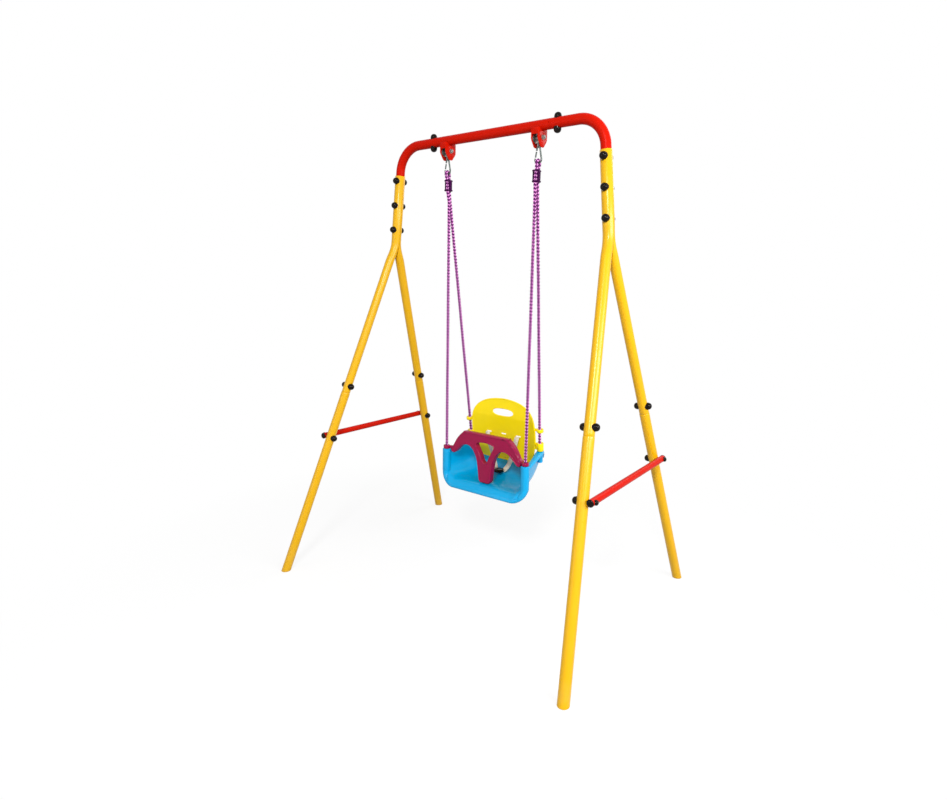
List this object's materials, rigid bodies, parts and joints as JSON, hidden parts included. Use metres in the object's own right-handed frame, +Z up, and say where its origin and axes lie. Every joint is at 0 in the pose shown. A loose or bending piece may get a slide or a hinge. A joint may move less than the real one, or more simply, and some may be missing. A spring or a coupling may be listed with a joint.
{
  "type": "toddler swing",
  "caption": "A-frame garden swing of bolted painted tubes with a moulded high-backed toddler seat on two purple ropes, snap hooks and a sliding guard bar.",
  "frame": {"origin": "on the ground, midway between the four feet and under the middle of the top bar", "axes": "+Z up, X along the top bar, -Y the way the child faces"},
  "size_m": [1.3248, 1.0088, 1.7339],
  "materials": {
    "red_paint": "glossy red powder coat on steel tube",
    "yellow_paint": "glossy yellow powder coat on steel tube",
    "plug_yellow": "yellow push-in end plug",
    "black_plastic": "smooth black-brown moulded caps",
    "zinc_steel": "dull zinc-plated steel",
    "purple_rope": "braided purple rope with light and dark flecks",
    "dark_purple_plastic": "dark purple moulded plastic",
    "blue_plastic": "glossy sky blue blow-moulded plastic",
    "seat_yellow_plastic": "satin bright yellow moulded plastic",
    "magenta_plastic": "glossy dark magenta moulded plastic",
    "cream_webbing": "cream woven belt"
  },
  "bodies": {
    "frame": {"top_bar_centre": "red_paint", "top_elbow_left": "red_paint", "top_elbow_right": "red_paint", "upper_leg_front_left": "yellow_paint", "upper_leg_rear_left": "yellow_paint", "upper_leg_front_right": "yellow_paint", "upper_leg_rear_right": "yellow_paint", "lower_leg_front_left": "yellow_paint", "lower_leg_rear_left": "yellow_paint", "lower_leg_front_right": "yellow_paint", "lower_leg_rear_right": "yellow_paint", "foot_plug_front_left": "plug_yellow", "foot_plug_rear_left": "plug_yellow", "foot_plug_front_right": "plug_yellow", "foot_plug_rear_right": "plug_yellow", "bar_bolt_left": "black_plastic", "bar_bolt_right": "black_plastic", "clamp_bolt_left_1": "black_plastic", "clamp_bolt_left_2": "black_plastic", "clamp_bolt_left_3": "black_plastic", "clamp_bolt_right_1": "black_plastic", "clamp_bolt_right_2": "black_plastic", "clamp_bolt_right_3": "black_plastic", "leg_bolt_front_left": "black_plastic", "leg_bolt_rear_left": "black_plastic", "leg_bolt_front_right": "black_plastic", "leg_bolt_rear_right": "black_plastic", "crossbar_left": "red_paint", "crossbar_right": "red_paint", "crossbar_bolt_front_left": "black_plastic", "crossbar_bolt_rear_left": "black_plastic", "crossbar_bolt_front_right": "black_plastic", "crossbar_bolt_rear_right": "black_plastic", "crossbar_plug_front_left": "black_plastic", "crossbar_plug_rear_left": "black_plastic", "crossbar_plug_front_right": "black_plastic", "crossbar_plug_rear_right": "black_plastic", "hanger_bracket_left": "red_paint", "hanger_bracket_right": "red_paint", "pivot_bolt_left": "zinc_steel", "pivot_bolt_right": "zinc_steel"},
    "swing": {"hanger_eye_left": "zinc_steel", "hanger_eye_right": "zinc_steel", "snap_hook_left": "zinc_steel", "snap_hook_right": "zinc_steel", "rope_left": "purple_rope", "rope_right": "purple_rope", "rope_adjuster_left": "dark_purple_plastic", "rope_adjuster_right": "dark_purple_plastic", "seat_tub": "blue_plastic"},
    "guard": {"guard_bar": "magenta_plastic"},
    "back": {"backrest": "seat_yellow_plastic", "harness_strap_left": "cream_webbing", "harness_strap_right": "cream_webbing", "harness_buckle": "black_plastic"},
    "gate_left": {"hook_gate_left": "zinc_steel"},
    "gate_right": {"hook_gate_right": "zinc_steel"}
  },
  "joints": [
    {"name": "swing_pivot", "type": "hinge", "parent": "frame", "child": "swing", "pos_m": [0, 0, 1.661], "axis": [1, 0, 0], "range_deg": [-60, 60]},
    {"name": "guard_lift", "type": "slide", "parent": "swing", "child": "guard", "axis": [0, 0, 1], "range_m": [0, 0.85]},
    {"name": "back_lift", "type": "slide", "parent": "swing", "child": "back", "axis": [0, -0.1354, 0.9908], "range_m": [0, 0.15]},
    {"name": "gate_left_hinge", "type": "hinge", "parent": "swing", "child": "gate_left", "pos_m": [-0.20764, 0, 1.617], "axis": [0, -1, 0], "range_deg": [0, 20], "stiffness_Nm_per_rad": 0.01, "springref_deg": -17.19},
    {"name": "gate_right_hinge", "type": "hinge", "parent": "swing", "child": "gate_right", "pos_m": [0.19236, 0, 1.617], "axis": [0, -1, 0], "range_deg": [0, 20], "stiffness_Nm_per_rad": 0.01, "springref_deg": -17.19}
  ]
}
